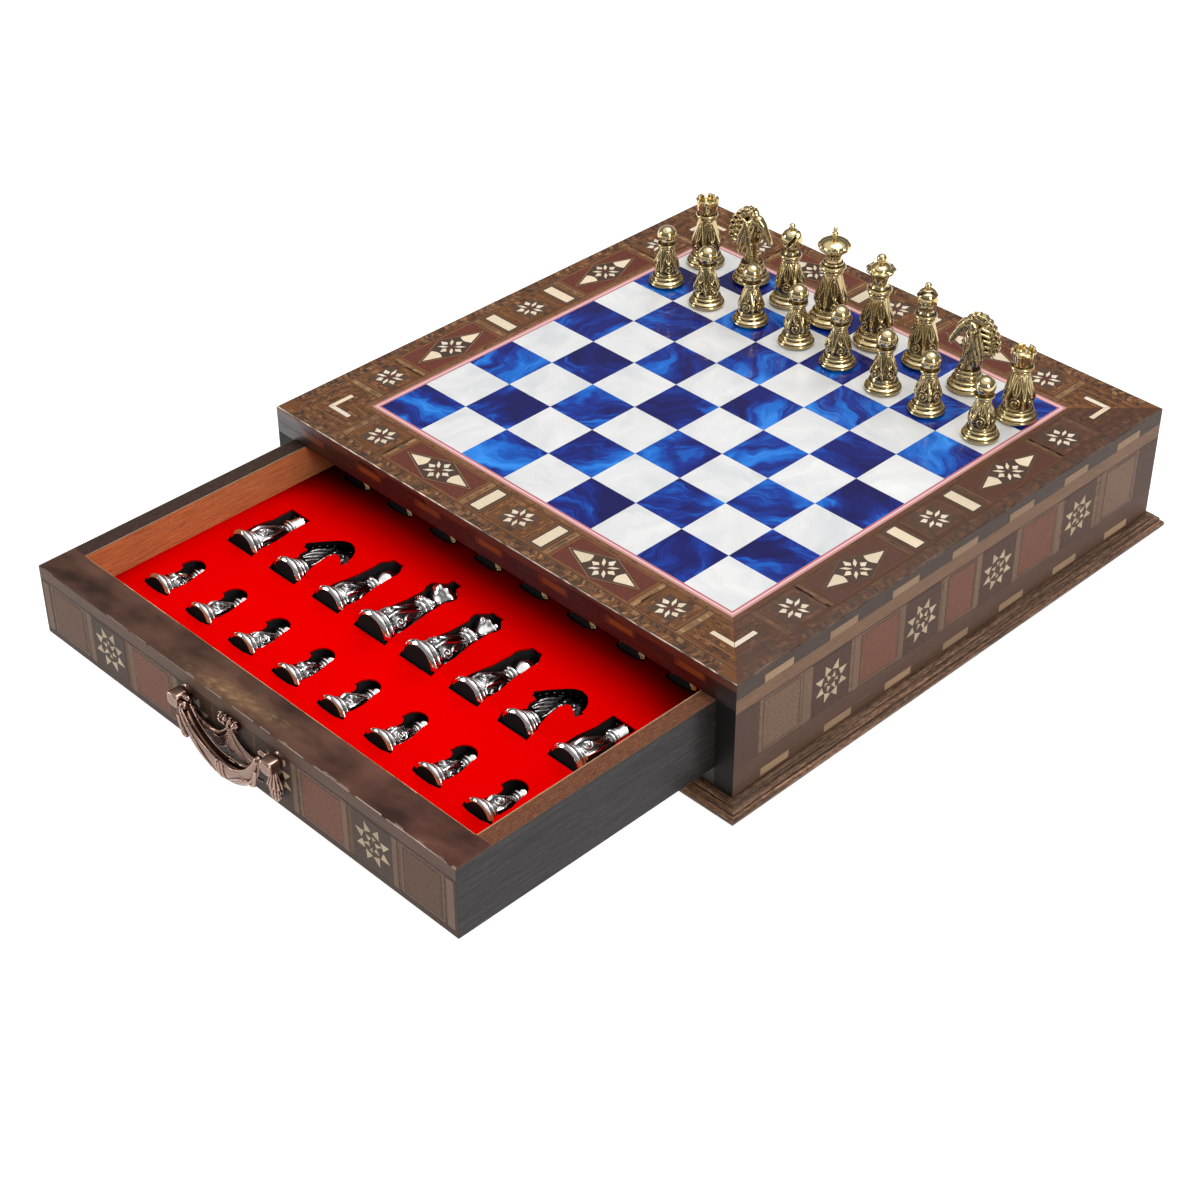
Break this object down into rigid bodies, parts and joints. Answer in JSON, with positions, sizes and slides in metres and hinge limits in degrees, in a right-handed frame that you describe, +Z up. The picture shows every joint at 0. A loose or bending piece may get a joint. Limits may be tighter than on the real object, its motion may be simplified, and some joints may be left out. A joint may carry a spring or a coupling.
{
  "type": "chess box with drawer",
  "caption": "Wooden chess cabinet: marquetry-framed board on a low case, a full-depth drawer with a recessed tray for the men, swinging bail handle, gold and silver men.",
  "frame": {"origin": "centre of the case's underside, on the table", "axes": "+Z up, drawer opens towards -Y, +X to the right when facing the drawer"},
  "size_m": [0.3844, 0.5648, 0.1502],
  "materials": {
    "case_wood": "satin lacquer, walnut with darker and redder panels",
    "plywood": "unfinished plywood",
    "frame_wood": "lacquered walnut marquetry",
    "border": "thin white line between two pink ones",
    "pearl_white": "pearly white laminate",
    "pearl_blue": "marbled deep blue laminate",
    "frame_inlay": "pale inlay",
    "side_inlay": "pale wood inlay",
    "moulding_wood": "dark stained, satin",
    "drawer_front_wood": "lacquered walnut marquetry",
    "drawer_wood": "black stained, satin",
    "foam": "black foam",
    "lining": "flat red lining",
    "antique_copper": "antiqued copper, worn bright on the ridges",
    "screw_steel": "zinc plated",
    "gold": "polished gold plate",
    "silver": "polished silver plate"
  },
  "bodies": {
    "cabinet": {"side_panel_left": "case_wood", "side_panel_right": "case_wood", "back_panel": "case_wood", "front_rail_upper": "case_wood", "front_rail_lower": "case_wood", "bottom_panel": "plywood", "drawer_runners": "plywood", "board_core": "plywood", "frame_front": "frame_wood", "frame_back": "frame_wood", "frame_left": "frame_wood", "frame_right": "frame_wood", "border_strips": "border", "light_squares": "pearl_white", "dark_squares": "pearl_blue", "frame_inlays": "frame_inlay", "side_inlays": "side_inlay", "moulding_front": "moulding_wood", "moulding_back": "moulding_wood", "moulding_left": "moulding_wood", "moulding_right": "moulding_wood", "gold_pawns": "gold", "gold_rooks": "gold", "gold_knights": "gold", "gold_bishops": "gold", "gold_queen": "gold", "gold_king": "gold"},
    "drawer": {"drawer_bottom": "plywood", "drawer_inlays": "side_inlay", "drawer_front": "drawer_front_wood", "drawer_side_left": "drawer_wood", "drawer_side_right": "drawer_wood", "drawer_back": "drawer_wood", "tray_base": "foam", "tray_foam": "foam", "tray_lining": "lining", "handle_posts": "antique_copper", "handle_swag": "antique_copper", "handle_screws": "screw_steel", "tray_gold_pawns": "gold", "silver_pawns": "silver", "silver_rooks": "silver", "silver_knights": "silver", "silver_bishops": "silver", "silver_queen": "silver", "silver_king": "silver"},
    "bail": {"handle_bail": "antique_copper"}
  },
  "joints": [
    {"name": "drawer_slide", "type": "slide", "parent": "cabinet", "child": "drawer", "axis": [0, -1, 0], "range_m": [-0.178, 0.136]},
    {"name": "bail_swing", "type": "hinge", "parent": "drawer", "child": "bail", "pos_m": [0, -0.3693, 0.0552], "axis": [-1, 0, 0], "range_deg": [0, 95]}
  ]
}
